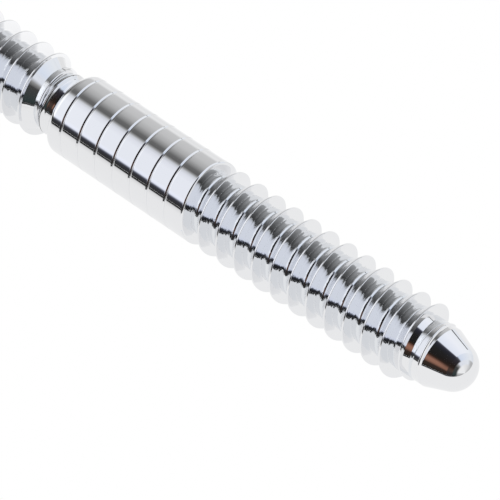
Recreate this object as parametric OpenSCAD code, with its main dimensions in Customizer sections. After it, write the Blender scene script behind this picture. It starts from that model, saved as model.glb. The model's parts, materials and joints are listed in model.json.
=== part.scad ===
// Spiral devil stick: a turned chrome juggling stick in three screwed sections.
// The stick lies along X with its middle at the origin. Every end piece is drawn
// once, from its joint face outwards, and placed at the +X (near) and -X (far) end.

/* [Stick] */
// Diameter of the grips and of the spiral fin's rim
outer_d = 30; // [27:0.5:36]
// Outside diameter of the tubes between the fins
core_d = 22; // [20:0.25:24]
// Wall thickness of the tubes
tube_wall = 2; // [1.5:0.1:2.5]
// Length of the centre section between its two joint faces
centre_len = 106.9; // [80:0.1:180]
// Distance from a joint face to the end of the grip
neck_len = 5.7; // [5:0.1:9]
// Length of each grip
grip_len = 65.4; // [45:0.1:100]
// Length of each finned shaft between its grip and its nose
shaft_len = 98.5; // [60:0.1:160]

/* [Neck] */
// Diameter of the bead on each side of a section joint
bead_d = 23.4; // [22.6:0.1:26]
// Width of each bead
bead_w = 1.3; // [1.1:0.1:2]
// Diameter of the neck at its waist
neck_d = 19.4; // [19:0.1:20.4]
// Open seam left between the two beads when a joint is tight
joint_gap = 0.25; // [0.1:0.05:0.4]

/* [Grip] */
// Thickness of the grip's end wall round the neck
grip_lip = 1.5; // [1:0.1:2.5]
// Rounding of the grip's edge at the neck
grip_neck_round = 1.2; // [0.5:0.1:2.5]
// Rounding of the grip's edge at the shoulder
grip_shoulder_round = 1.5; // [0.5:0.1:2.5]
// Depth of the spiral groove in the grip
groove_depth = 0.28; // [0.1:0.02:0.6]
// Width of the spiral groove at the surface
groove_w = 0.8; // [0.4:0.05:1.6]
// Angle at which the groove leaves the grip's shoulder
groove_exit_angle = 228; // [0:1:360]

/* [Spiral fin] */
// Lead of the fin and of the grip's groove, one turn
fin_lead = 8.13; // [6.4:0.01:12]
// Thickness of the fin at its rim
fin_rim_t = 1.2; // [0.8:0.1:2]
// Reach of the fin's sloping back along the tube, from the middle of its rim
fin_slope_w = 4.5; // [3.5:0.1:5]
// Reach of the fin's steep face along the tube, from the middle of its rim
fin_face_w = 0.7; // [0.6:0.05:1]
// Angle at which an end fin leaves the grip's shoulder
fin_start_angle = -157; // [-180:1:180]
// Angle of the centre fin at the middle of the stick
centre_fin_angle = -90; // [-180:1:180]
// Part of a turn over which an end fin runs out
end_tail_turn = 0.85; // [0.4:0.05:1.5]
// Part of a turn over which the centre fin runs out
centre_tail_turn = 1.3; // [0.5:0.05:2]
// Lead of the run-outs, one turn
tail_lead = 5.9; // [4:0.1:8]
// Share of the fin's height that is left in the ridge of its run-out
ridge_share = 0.3; // [0.15:0.05:0.5]

/* [Nose] */
// Length of a nose from its seam to its tip
nose_len = 17.3; // [14:0.1:24]
// Radius of the nose's round tip
nose_tip_r = 8.7; // [7:0.1:9.5]
// Length of the straight collar behind the nose's cone
nose_collar = 3.7; // [2.4:0.1:4.5]
// Seam left between a nose and its shaft
nose_gap = 0.1; // [0.1:0.05:0.3]
// Height of the spiral bead that ends the fin's line on the nose
nose_bead_h = 1; // [0.6:0.1:1.6]
// Angle at which the nose's bead starts
nose_bead_angle = 25; // [-180:1:180]
// Part of a turn that the nose's bead takes
nose_bead_turn = 0.56; // [0.3:0.02:0.7]

/* [Section joints] */
// Outside diameter of the joint stud's thread
joint_thread_d = 12; // [10:0.5:13]
// Lead of the joint thread, one turn
joint_lead = 4; // [3:0.25:5]
// Turns of thread that hold a section
joint_turns = 3; // [2:1:4]
// Length of a plug inside its tube beyond the thread
plug_extra = 8; // [4:0.5:20]
// Length of the stud's plain shank in the centre plug
stud_shank = 16; // [10:0.5:24]

/* [Nose joints] */
// Outside diameter of the nose's thread
nose_thread_d = 10; // [8:0.5:11]
// Lead of the nose thread, one turn
nose_lead = 3; // [2:0.25:4]
// Turns of thread that hold a nose
nose_turns = 3; // [2:1:4]

/* [Fits] */
// Height of the screw threads
thread_h = 0.9; // [0.7:0.05:1.2]
// Clearance between male and female threads
thread_clear = 0.2; // [0.15:0.05:0.3]
// Clearance of pieces that are pushed into or over a tube
push_clear = 0.02; // [0.01:0.01:0.05]
// Clearance round the end weights
weight_clear = 0.1; // [0.05:0.05:0.3]
// Clearance round an O-ring in its groove
ring_clear = 0.1; // [0.05:0.05:0.2]

/* [Seals and weights] */
// Section thickness of every O-ring
ring_cord = 1.2; // [1:0.1:1.6]
// Middle diameter of the O-ring in a section joint
joint_ring_d = 17.4; // [16.6:0.1:18]
// Middle diameter of the O-ring under a nose
nose_ring_d = 15; // [14:0.1:16]
// Length of the weight in each end
weight_len = 30; // [10:1:60]
// Chamfer on the weight's edges
weight_chamfer = 0.8; // [0.4:0.1:1.5]

/* [Hidden] */

// Facets of the round pieces, and of one turn of a fin, groove or thread
$fn = 96;
fin_segs = 20;
thread_segs = 16;
ring_segs = 32;

// Length by which a cutter runs past the face that it cuts
overcut = 1;

// Radii
outer_r = outer_d / 2;
core_r = core_d / 2;
bore_r = core_r - tube_wall;
plug_r = bore_r - push_clear;
bead_r = bead_d / 2;
neck_r = neck_d / 2;

// Places along an end section, counted outwards from its joint face
grip_from = neck_len;
tube_from = grip_from + grip_lip;
grip_to = grip_from + grip_len;
shaft_to = grip_to + shaft_len;
nose_from = shaft_to + nose_gap;
tip_at = nose_from + nose_len;

// Places along the centre section
half_centre = centre_len / 2;
centre_tube_half = half_centre - bead_w - joint_gap / 2;

// Threads
joint_thread_r = joint_thread_d / 2;
joint_travel = joint_turns * joint_lead;
joint_hole = joint_travel + joint_lead / 2;
nose_thread_r = nose_thread_d / 2;
nose_travel = nose_turns * nose_lead;
nose_hole = nose_travel + nose_lead / 2;
ridge_sink = 0.2;
thread_root_share = 0.3;
thread_crest_share = 0.1;
thread_plain_share = 0.25;
thread_tip_share = 0.1;
thread_ease_turn = 0.3;
thread_least = 0.15;

// Plugs
plug_floor = 4;
centre_plug_len = stud_shank + plug_floor;
joint_plug_to = joint_hole + plug_extra;
end_plug_len = nose_hole + plug_extra;
weight_to = shaft_to - end_plug_len;

// Chrome plate, black rubber and plain steel
chrome = [0.80, 0.82, 0.85];
rubber = [0.05, 0.05, 0.05];
steel = [0.55, 0.56, 0.58];

// Eased step from 0 to 1
function ease(u) = let (v = min(max(u, 0), 1)) v * v * (3 - 2 * v);

// Share of a fin's height along its run-out: full, then a low ridge, then almost nothing
tail_fade_from = 0.38;
tail_fade_to = 0.8;
tail_close = 0.92;
tail_end_share = 0.2;
function tail_share(u) =
  (1 - (1 - ridge_share) * ease((u - tail_fade_from) / (tail_fade_to - tail_fade_from)))
  * (1 - (1 - tail_end_share) * ease((u - tail_close) / (1 - tail_close)));

// Places a profile of [along, radius] points at an angle round the X axis
function ring_at(angle, profile) = [for (p = profile) [p[0], p[1] * cos(angle), p[1] * sin(angle)]];

// Closed solid through a row of rings whose profiles pair up left to right
module through_rings(rings) {
  last = len(rings) - 1;
  n = len(rings[0]);
  points = [for (one = rings) for (p = one) p];
  sides = [
    for (i = [0 : last - 1]) for (j = [0 : n - 1])
      let (a = i * n + j, b = i * n + (j + 1) % n)
      each [[a, b, b + n], [a, b + n, a + n]]
  ];
  start_cap = [
    for (j = [0 : n / 2 - 2])
      each [[n - 1 - j, n - 2 - j, j + 1], [n - 1 - j, j + 1, j]]
  ];
  end_cap = [
    for (j = [0 : n / 2 - 2]) let (k = last * n)
      each [[k + j, k + j + 1, k + n - 2 - j], [k + j, k + n - 2 - j, k + n - 1 - j]]
  ];
  polyhedron(points = points, faces = concat(start_cap, sides, end_cap), convexity = 10);
}

// Fin profile: a long slope up to a thin rim, and a steep face towards +X
fin_in_r = core_r / cos(180 / fin_segs) + push_clear;
function fin_profile(x, share, low, high) =
  let (rim_r = fin_in_r + (outer_r - fin_in_r) * share)
  [
    [max(x - fin_slope_w, low), fin_in_r],
    [max(x - fin_rim_t / 2, low), rim_r],
    [min(x + fin_rim_t / 2, high), rim_r],
    [min(x + fin_face_w, high), fin_in_r]
  ];

// Trapezoid ridge of a thread or groove, from its foot to its crest
function ridge_profile(x, foot_r, crest_r, foot_half, crest_half) =
  [[x - foot_half, foot_r], [x - crest_half, crest_r], [x + crest_half, crest_r], [x + foot_half, foot_r]];

// Helical ridge from one place to another, full height but for its eased ends
module thread_ridge(from, to, lead, root_r, crest_r, grow, ease_turn) {
  steps = ceil((to - from) / lead * thread_segs);
  step_angle = (to - from) / lead * 360 / steps;
  foot_half = lead * thread_root_share + grow;
  crest_half = lead * thread_crest_share + grow;
  foot_r = root_r - ridge_sink;
  through_rings([
    for (i = [0 : steps])
      let (
        turn = i * step_angle / 360,
        ends = min(turn, (to - from) / lead - turn),
        rise = ease_turn == 0 ? 1 : max(ease(ends / ease_turn), thread_least)
      )
      ring_at(
        from / lead * 360 + i * step_angle,
        ridge_profile(from + turn * lead, foot_r, root_r + (crest_r - root_r) * rise, foot_half, crest_half)
      )
  ]);
}

// Round bar along X
module bar(from, to, r) {
  translate([from, 0, 0]) rotate([0, 90, 0]) cylinder(h = to - from, r = r);
}

// Solid of revolution about X from [along, radius] points
module turned(outline) {
  rotate([0, 90, 0]) rotate_extrude() polygon([for (p = outline) [p[1], p[0]]]);
}

// Points of an arc about [along, radius], its angles counted from +X outwards
arc_steps = 8;
function arc(x, y, r, from, to) =
  [for (i = [0 : arc_steps]) let (a = from + (to - from) * i / arc_steps) [x + r * cos(a), y + r * sin(a)]];

// Ring of round section about X
module o_ring_at(x, middle_d) {
  translate([x, 0, 0]) rotate([0, 90, 0]) rotate_extrude()
    translate([middle_d / 2, 0]) circle(d = ring_cord, $fn = ring_segs);
}

// Square groove for an O-ring, open at one face
module ring_groove(from, to, middle_d) {
  width = ring_cord + 2 * ring_clear;
  difference() {
    bar(from, to, (middle_d + width) / 2);
    bar(from - overcut, to + overcut, (middle_d - width) / 2);
  }
}

// Places an end piece at the near or far end of the stick
module near_end() {
  translate([half_centre, 0, 0]) children();
}

module far_end() {
  rotate([0, 0, 180]) translate([half_centre, 0, 0]) children();
}

// Tube of the centre section, between the beads of the two centre plugs
module centre_tube() {
  color(chrome) difference() {
    bar(-centre_tube_half, centre_tube_half, core_r);
    bar(-centre_tube_half - overcut, centre_tube_half + overcut, bore_r);
  }
}

// Fin of the centre section, alike seen from either end, with a run-out at both ends
centre_fin_half = centre_tube_half - fin_rim_t;
centre_full_turn = (centre_fin_half - tail_lead * centre_tail_turn) / fin_lead;
centre_turn = centre_full_turn + centre_tail_turn;
function centre_fin_x(turn) =
  let (over = max(abs(turn) - centre_full_turn, 0))
  sign(turn) * (min(abs(turn), centre_full_turn) * fin_lead + over * tail_lead);

module centre_spiral_fin() {
  steps = ceil(2 * centre_turn * fin_segs);
  color(chrome) through_rings([
    for (i = [0 : steps])
      let (
        turn = (2 * i / steps - 1) * centre_turn,
        share = tail_share((abs(turn) - centre_full_turn) / centre_tail_turn)
      )
      ring_at(
        centre_fin_angle + turn * 360,
        fin_profile(centre_fin_x(turn), share, -centre_tube_half, centre_tube_half)
      )
  ]);
}

// Plug in an end of the centre tube, with the bead on the centre's side of the joint
module centre_plug() {
  bead_mid = -joint_gap / 2 - bead_w / 2;
  bead_foot = bead_r - bead_w / 2;
  color(chrome) difference() {
    turned(concat(
      [[-centre_plug_len, 0], [-centre_plug_len, plug_r], [bead_mid - bead_w / 2, plug_r]],
      arc(bead_mid, bead_foot, bead_w / 2, 180, 0),
      [[bead_mid + bead_w / 2, 0]]
    ));
    bar(-stud_shank, overcut, joint_thread_r + push_clear);
  }
}

// Stud that is fixed in the centre plug and holds a section by its thread
module joint_stud() {
  root_r = joint_thread_r - thread_h;
  color(steel) union() {
    bar(-stud_shank, -joint_gap / 2, joint_thread_r);
    bar(-joint_gap, joint_travel, root_r);
    thread_ridge(joint_lead * thread_plain_share, joint_travel - joint_lead * thread_tip_share, joint_lead,
      root_r, joint_thread_r, 0, thread_ease_turn);
  }
}

// Seal between the two beads of a section joint
module joint_o_ring() {
  color(rubber) o_ring_at(-joint_gap / 2 + ring_clear + ring_cord / 2, joint_ring_d);
}

// Plug at the inner end of a section: bead, waisted neck, socket for the stud
neck_steps = 8;
neck_waist = 0.75;
module joint_plug() {
  bead_mid = joint_gap / 2 + bead_w / 2;
  bead_foot = bead_r - bead_w / 2;
  neck_start = bead_mid + bead_w / 2;
  neck_run = neck_waist * (grip_from - neck_start);
  root_r = joint_thread_r - thread_h;
  color(chrome) difference() {
    turned(concat(
      [[bead_mid - bead_w / 2, 0]],
      arc(bead_mid, bead_foot, bead_w / 2, 180, 0),
      [
        for (i = [1 : neck_steps]) let (u = i / neck_steps)
          [neck_start + neck_run * u, neck_r + (bead_foot - neck_r) * pow(1 - u, 2)]
      ],
      [[tube_from, neck_r], [tube_from, plug_r], [joint_plug_to, plug_r], [joint_plug_to, 0]]
    ));
    bar(-overcut, joint_hole, root_r + thread_clear);
    thread_ridge(-joint_lead, joint_travel + joint_lead * thread_plain_share, joint_lead,
      root_r + thread_clear, (joint_thread_r + thread_clear) / cos(180 / thread_segs), thread_clear, 0);
    ring_groove(-overcut, -joint_gap / 2 + 2 * ring_clear + ring_cord, joint_ring_d);
  }
}

// Tube of an end section, from inside the grip to the nose
module shaft_tube() {
  color(chrome) difference() {
    bar(tube_from, shaft_to, core_r);
    bar(tube_from - overcut, shaft_to + overcut, bore_r);
  }
}

// Grip: a thick sleeve on the tube with one spiral groove from end to end
groove_root_w = 0.2;
groove_over = 0.5;
module grip_sleeve() {
  color(chrome) difference() {
    turned(concat(
      [[grip_from, neck_r + push_clear], [tube_from, neck_r + push_clear]],
      [[tube_from, core_r + push_clear], [grip_to, core_r + push_clear]],
      arc(grip_to - grip_shoulder_round, outer_r - grip_shoulder_round, grip_shoulder_round, 0, 90),
      arc(grip_from + grip_neck_round, outer_r - grip_neck_round, grip_neck_round, 90, 180)
    ));
    grip_groove();
  }
}

// Cutter of the grip's groove, which runs out through both ends of the grip
module grip_groove() {
  from = grip_from - fin_lead / 4;
  to = grip_to + fin_lead / 4;
  steps = ceil((to - from) / fin_lead * fin_segs);
  flare = (groove_w - groove_root_w) / 2 / groove_depth;
  through_rings([
    for (i = [0 : steps]) let (x = from + (to - from) * i / steps)
      ring_at(
        groove_exit_angle + (x - grip_to) / fin_lead * 360,
        ridge_profile(x, outer_r - groove_depth, outer_r + groove_over, groove_root_w / 2,
          groove_w / 2 + groove_over * flare)
      )
  ]);
}

// Fin of an end section, which comes out of the grip's shoulder and runs out before the nose
fin_start_sink = 0.4;
fin_from = grip_to - fin_start_sink;
fin_to = shaft_to - fin_rim_t;
end_full_turn = (fin_to - fin_from - tail_lead * end_tail_turn) / fin_lead;
end_turn = end_full_turn + end_tail_turn;
module spiral_fin() {
  steps = ceil(end_turn * fin_segs);
  color(chrome) through_rings([
    for (i = [0 : steps])
      let (
        turn = i / steps * end_turn,
        over = max(turn - end_full_turn, 0),
        x = fin_from + min(turn, end_full_turn) * fin_lead + over * tail_lead
      )
      ring_at(
        fin_start_angle + turn * 360,
        fin_profile(x, tail_share(over / end_tail_turn), grip_to + push_clear, shaft_to)
      )
  ]);
}

// Weight that rests against the end plug inside the tube
module end_weight() {
  r = bore_r - weight_clear;
  from = weight_to - weight_len;
  color(steel) turned([
    [from, 0], [from, r - weight_chamfer], [from + weight_chamfer, r],
    [weight_to - weight_chamfer, r], [weight_to, r - weight_chamfer], [weight_to, 0]
  ]);
}

// Plug in the outer end of the tube, with the socket that the nose screws into
module end_plug() {
  root_r = nose_thread_r - thread_h;
  color(chrome) difference() {
    bar(weight_to, shaft_to, plug_r);
    bar(shaft_to - nose_hole, shaft_to + overcut, root_r + thread_clear);
    thread_ridge(shaft_to - nose_travel - nose_lead * thread_plain_share, shaft_to + nose_lead, nose_lead,
      root_r + thread_clear, (nose_thread_r + thread_clear) / cos(180 / thread_segs), thread_clear, 0);
  }
}

// Seal between a nose and its end plug
module nose_o_ring() {
  color(rubber) o_ring_at(shaft_to + ring_clear + ring_cord / 2, nose_ring_d);
}

// Nose: straight collar, cone and round tip, with a threaded stub behind it
nose_ball_x = tip_at - nose_tip_r;
collar_to = nose_from + nose_collar;
nose_reach = norm([collar_to - nose_ball_x, core_r]);
nose_tangent = atan2(core_r, collar_to - nose_ball_x) - acos(nose_tip_r / nose_reach);
nose_slope = tan(90 - nose_tangent);
function nose_r(x) = core_r - max(x - collar_to, 0) * nose_slope;

module nose_cone() {
  root_r = nose_thread_r - thread_h;
  color(chrome) difference() {
    union() {
      turned(concat(
        [[nose_from, 0], [nose_from, core_r], [collar_to, core_r]],
        arc(nose_ball_x, 0, nose_tip_r, nose_tangent, 0)
      ));
      bar(shaft_to - nose_travel, nose_from + overcut, root_r);
      thread_ridge(shaft_to - nose_travel + nose_lead * thread_tip_share,
        shaft_to - nose_lead * thread_plain_share, nose_lead, root_r, nose_thread_r, 0, thread_ease_turn);
      nose_bead();
    }
    ring_groove(nose_from - overcut, shaft_to + 2 * ring_clear + ring_cord, nose_ring_d);
  }
}

// Low spiral bead round the nose's collar, in line with the fin
nose_bead_start = 0.3;
nose_bead_foot = 0.8;
nose_bead_crest = 0.25;
nose_bead_sink = 1.5;
nose_bead_ease = 0.2;
nose_bead_least = 0.1;
module nose_bead() {
  steps = ceil(nose_bead_turn * fin_segs);
  through_rings([
    for (i = [0 : steps])
      let (
        u = i / steps,
        x = nose_from + nose_bead_start + u * nose_bead_turn * fin_lead,
        rise = max(ease(min(u, 1 - u) / nose_bead_ease), nose_bead_least),
        outline = ridge_profile(x, core_r - nose_bead_sink, nose_r(x) + nose_bead_h * rise, nose_bead_foot,
          nose_bead_crest)
      )
      ring_at(nose_bead_angle + u * nose_bead_turn * 360, [for (p = outline) [max(p[0], nose_from), p[1]]])
  ]);
}

centre_tube();
centre_spiral_fin();
near_end() centre_plug();  // near_centre_plug
near_end() joint_stud();  // near_joint_stud
near_end() joint_o_ring();  // near_joint_o_ring
near_end() joint_plug();  // near_joint_plug
near_end() shaft_tube();  // near_shaft_tube
near_end() grip_sleeve();  // near_grip_sleeve
near_end() spiral_fin();  // near_spiral_fin
near_end() end_weight();  // near_end_weight
near_end() end_plug();  // near_end_plug
near_end() nose_o_ring();  // near_nose_o_ring
near_end() nose_cone();  // near_nose_cone
far_end() centre_plug();  // far_centre_plug
far_end() joint_stud();  // far_joint_stud
far_end() joint_o_ring();  // far_joint_o_ring
far_end() joint_plug();  // far_joint_plug
far_end() shaft_tube();  // far_shaft_tube
far_end() grip_sleeve();  // far_grip_sleeve
far_end() spiral_fin();  // far_spiral_fin
far_end() end_weight();  // far_end_weight
far_end() end_plug();  // far_end_plug
far_end() nose_o_ring();  // far_nose_o_ring
far_end() nose_cone();  // far_nose_cone
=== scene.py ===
import json
import math

import bmesh
import bpy
from mathutils import Matrix, Vector


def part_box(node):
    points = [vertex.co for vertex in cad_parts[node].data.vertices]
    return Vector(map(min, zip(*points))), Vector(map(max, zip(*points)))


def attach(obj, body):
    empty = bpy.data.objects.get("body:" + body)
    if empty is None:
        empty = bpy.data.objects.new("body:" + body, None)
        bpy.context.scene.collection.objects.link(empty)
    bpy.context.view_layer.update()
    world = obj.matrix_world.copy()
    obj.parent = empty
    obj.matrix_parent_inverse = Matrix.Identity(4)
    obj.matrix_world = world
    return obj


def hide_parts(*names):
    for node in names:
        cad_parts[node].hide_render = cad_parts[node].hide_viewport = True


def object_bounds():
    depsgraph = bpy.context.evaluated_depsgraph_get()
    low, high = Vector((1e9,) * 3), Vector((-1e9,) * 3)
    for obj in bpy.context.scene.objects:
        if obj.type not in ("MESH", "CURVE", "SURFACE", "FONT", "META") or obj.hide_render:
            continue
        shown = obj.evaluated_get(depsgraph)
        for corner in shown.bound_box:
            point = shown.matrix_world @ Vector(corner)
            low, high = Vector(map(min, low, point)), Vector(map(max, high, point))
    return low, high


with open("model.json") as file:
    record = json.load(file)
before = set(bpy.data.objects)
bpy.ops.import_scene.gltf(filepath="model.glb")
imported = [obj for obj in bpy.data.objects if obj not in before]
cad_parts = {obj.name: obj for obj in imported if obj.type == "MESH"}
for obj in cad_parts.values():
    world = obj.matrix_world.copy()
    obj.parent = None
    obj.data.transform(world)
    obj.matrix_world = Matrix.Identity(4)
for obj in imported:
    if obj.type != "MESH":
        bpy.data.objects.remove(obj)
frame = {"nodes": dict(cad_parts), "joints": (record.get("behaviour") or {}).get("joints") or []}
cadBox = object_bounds()

# pieces are drawn in millimetres along the stick, counted outwards from the near joint face
mm = 0.001
sameSpot = 0.0005   # points closer than this are one
jointX = {joint["name"]: joint["pos_m"][0] / mm for joint in frame["joints"] if "pos_m" in joint}
half = jointX["near_section_unscrew"]


def reach(node):
    low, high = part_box(node)
    return low.x / mm - half, high.x / mm - half, high.z / mm


tubeFrom, tubeTo, coreRadius = reach("near_shaft_tube")
gripFrom, gripTo, gripRadius = reach("near_grip_sleeve")
neckFace, neckPlugTo, beadRadius = reach("near_joint_plug")
centrePlugFrom, centrePlugFace = reach("near_centre_plug")[:2]
studFrom, studTo, studRadius = reach("near_joint_stud")
sealFrom, sealTo, sealRadius = reach("near_joint_o_ring")
endPlugFrom, endPlugTo, plugRadius = reach("near_end_plug")
noseSealFrom, noseSealTo, noseSealRadius = reach("near_nose_o_ring")
stubFrom, noseTip = reach("near_nose_cone")[:2]
centreFrom, centreTo = reach("centre_tube")[:2]
nearPlace = Matrix.Translation((half * mm, 0, 0)) @ Matrix.Scale(mm, 4)
endPlaces = {"near": nearPlace, "far": Matrix.Rotation(math.pi, 4, "Z") @ nearPlace}


# node sockets that take part in plain sums
class Wire:
    def __init__(self, tree, socket):
        self.tree = tree
        self.socket = socket

    def math(self, operation, *others):
        node = self.tree.nodes.new("ShaderNodeMath")
        node.operation = operation
        for socket, value in zip(node.inputs, (self, *others)):
            plug(self.tree, value, socket)
        return Wire(self.tree, node.outputs[0])

    def __add__(self, other):
        return self.math("ADD", other)

    def __sub__(self, other):
        return self.math("SUBTRACT", other)

    def __mul__(self, other):
        return self.math("MULTIPLY", other)

    def __truediv__(self, other):
        return self.math("DIVIDE", other)

    def limit(self, low, high):
        return self.math("MAXIMUM", low).math("MINIMUM", high)

    def smooth(self, low, high, start, end):
        node = self.tree.nodes.new("ShaderNodeMapRange")
        node.interpolation_type = "SMOOTHSTEP"
        labels = ("Value", "From Min", "From Max", "To Min", "To Max")
        for label, value in zip(labels, (self, low, high, start, end)):
            plug(self.tree, value, node.inputs[label])
        return Wire(self.tree, node.outputs["Result"])


def plug(tree, value, socket):
    if isinstance(value, Wire):
        tree.links.new(value.socket, socket)
    else:
        socket.default_value = value


def addNode(tree, kind, **inputs):
    node = tree.nodes.new(kind)
    for name, value in inputs.items():
        plug(tree, value, node.inputs[name.replace("_", " ")])
    return node


# a Geometry Nodes tree with named number inputs, a step count and a material
def newTree(name, numbers):
    tree = bpy.data.node_groups.new(name, "GeometryNodeTree")
    tree.interface.new_socket("Geometry", in_out="OUTPUT", socket_type="NodeSocketGeometry")
    for label in numbers:
        tree.interface.new_socket(label, in_out="INPUT", socket_type="NodeSocketFloat")
    tree.interface.new_socket("Steps", in_out="INPUT", socket_type="NodeSocketInt")
    tree.interface.new_socket("Finish", in_out="INPUT", socket_type="NodeSocketMaterial")
    groupIn = tree.nodes.new("NodeGroupInput")
    tree.nodes.new("NodeGroupOutput")
    return tree, {socket.name: Wire(tree, socket) for socket in groupIn.outputs if socket.name}


# a unit grid whose two shares are handed to the rule that bends it
def gridOf(tree, rows, columns):
    grid = addNode(tree, "GeometryNodeMeshGrid", Size_X=1, Size_Y=1, Vertices_X=rows, Vertices_Y=columns)
    spot = Wire(tree, tree.nodes.new("GeometryNodeInputPosition").outputs[0])
    place = addNode(tree, "ShaderNodeSeparateXYZ", Vector=spot)
    return grid.outputs["Mesh"], Wire(tree, place.outputs["X"]) + 0.5, Wire(tree, place.outputs["Y"]) + 0.5


# columns as shares of a closed outline, whose last column meets the first one
def closedLoop(across, count, nudge=0.01):
    return ((across * count + nudge).math("MODULO", count) - nudge) / (count - 1)


def aroundAxis(tree, x, radius, angle):
    y = radius * angle.math("COSINE")
    z = radius * angle.math("SINE")
    return Wire(tree, addNode(tree, "ShaderNodeCombineXYZ", X=x, Y=y, Z=z).outputs[0])


def endTree(tree, mesh, spot, finish):
    move = addNode(tree, "GeometryNodeSetPosition", Geometry=Wire(tree, mesh), Position=spot)
    moved = Wire(tree, move.outputs[0])
    merge = addNode(tree, "GeometryNodeMergeByDistance", Geometry=moved, Distance=sameSpot)
    shade = addNode(tree, "GeometryNodeSetShadeSmooth", Geometry=Wire(tree, merge.outputs[0]))
    real = addNode(tree, "GeometryNodeRealizeInstances", Geometry=Wire(tree, shade.outputs[0]))
    paint = addNode(tree, "GeometryNodeSetMaterial", Geometry=Wire(tree, real.outputs[0]), Material=finish)
    out = next(node for node in tree.nodes if node.bl_idname == "NodeGroupOutput")
    tree.links.new(paint.outputs[0], out.inputs[0])
    return tree


# runs a tree with its values and hands back a plain mesh
def grow(name, tree, values):
    source = bpy.data.meshes.new(name)
    holder = bpy.data.objects.new(name, source)
    bpy.context.scene.collection.objects.link(holder)
    modifier = holder.modifiers.new(tree.name, "NODES")
    modifier.node_group = tree
    for item in tree.interface.items_tree:
        if item.in_out == "INPUT" and item.name in values:
            modifier[item.identifier] = values[item.name]
    evaluated = holder.evaluated_get(bpy.context.evaluated_depsgraph_get())
    grown = bpy.data.meshes.new_from_object(evaluated)
    holder.modifiers.clear()
    bpy.data.objects.remove(holder)
    bpy.data.meshes.remove(source)
    grown.name = name
    return grown


# arc points about [along, radius], angles in degrees from +X outwards
def arc(x, y, radius, start, end, steps):
    angles = [math.radians(start + (end - start) * i / steps) for i in range(steps + 1)]
    return [(x + radius * math.cos(a), y + radius * math.sin(a)) for a in angles]


rounds = {"shown": 256, "tube": 192, "hidden": 96}   # faces round a turned piece


# turned piece from [along, radius] points; points on the axis close it, and a loop joins its ends
def lathe(name, outline, surface, segments, loop=False):
    mesh = bpy.data.meshes.new(name)
    spots = []
    rings = []
    for x, radius in outline:
        count = segments if radius > 0 else 1
        rings.append(range(len(spots), len(spots) + count))
        for i in range(count):
            angle = 2 * math.pi * i / segments
            spots.append((x, radius * math.cos(angle), radius * math.sin(angle)))
    faces = []
    pairs = list(zip(rings, rings[1:] + rings[:1]))
    for a, b in pairs if loop else pairs[:-1]:
        for i in range(segments):
            j = (i + 1) % segments
            corners = [a[i % len(a)], a[j % len(a)], b[j % len(b)], b[i % len(b)]]
            faces.append(list(dict.fromkeys(corners)))
    mesh.from_pydata(spots, [], [face for face in faces if len(face) > 2])
    mesh.materials.append(surface)
    return mesh


# joins meshes into one closed skin, with crisp edges only where the outline turns sharply
def weld(name, meshes, sharpAt=40):
    shape = bmesh.new()
    for mesh in meshes:
        shape.from_mesh(mesh)
    surface = next(material for material in meshes[0].materials if material)
    for mesh in meshes:
        bpy.data.meshes.remove(mesh)
    for face in shape.faces:
        face.material_index = 0
    bmesh.ops.remove_doubles(shape, verts=shape.verts, dist=sameSpot)
    bmesh.ops.dissolve_degenerate(shape, edges=shape.edges, dist=sameSpot / 10)
    bmesh.ops.recalc_face_normals(shape, faces=shape.faces)
    joined = bpy.data.meshes.new(name)
    shape.to_mesh(joined)
    shape.free()
    joined.materials.append(surface)
    joined.shade_smooth()
    joined.set_sharp_from_angle(angle=math.radians(sharpAt))
    return joined


# puts a mesh into the scene on a body, in place of its CAD nodes
def setPiece(name, mesh, place, body, slot, *nodes):
    mesh.transform(place)
    mesh.name = name
    piece = bpy.data.objects.new(name, mesh)
    bpy.context.scene.collection.objects.link(piece)
    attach(piece, body)
    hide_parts(*nodes)
    return piece


# the same piece at both ends of the stick
def setEnds(name, mesh, body, slot):
    for end, place in endPlaces.items():
        owner = "centre" if body == "centre" else end + "_" + body
        setPiece(end + "_" + name + ".skin", mesh.copy(), place, owner, slot, end + "_" + name)
    bpy.data.meshes.remove(mesh)


# finishes
def newGroup(name, inputs, outputs):
    group = bpy.data.node_groups.new(name, "ShaderNodeTree")
    for label, kind in inputs.items():
        group.interface.new_socket(label, in_out="INPUT", socket_type="NodeSocket" + kind)
    for label in outputs:
        group.interface.new_socket(label, in_out="OUTPUT", socket_type="NodeSocketFloat")
    groupIn = group.nodes.new("NodeGroupInput")
    groupOut = group.nodes.new("NodeGroupOutput")
    return group, {s.name: Wire(group, s) for s in groupIn.outputs if s.name}, groupOut.inputs


# marks that the lathe tool left: uneven rings close together along the stick and across its faces
def buildTurningMarks():
    group, take, out = newGroup("turningMarks", {
        "Vector": "Vector", "Spacing": "Float", "Twist": "Float", "Depth": "Float", "Lean": "Float",
    }, ["Height"])
    place = addNode(group, "ShaderNodeSeparateXYZ", Vector=take["Vector"])
    x, y, z = (Wire(group, place.outputs[axis]) for axis in "XYZ")
    twist = take["Twist"] / take["Spacing"]
    walk = x + (y * y + z * z).math("SQRT")
    spot = addNode(group, "ShaderNodeCombineXYZ", X=walk / take["Spacing"], Y=y * twist, Z=z * twist)
    rings = Wire(group, spot.outputs[0])
    noise = addNode(group, "ShaderNodeTexNoise", Vector=rings, Scale=1, Detail=2, Roughness=0.6)
    height = Wire(group, noise.outputs[0]) * take["Depth"] + x * take["Lean"]
    group.links.new(height.socket, out["Height"])
    return group


# faint wipe marks that make the gloss uneven
wipe = {"scale": 60, "detail": 4, "rough": 0.6, "from": 0.35, "to": 0.75}


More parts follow.
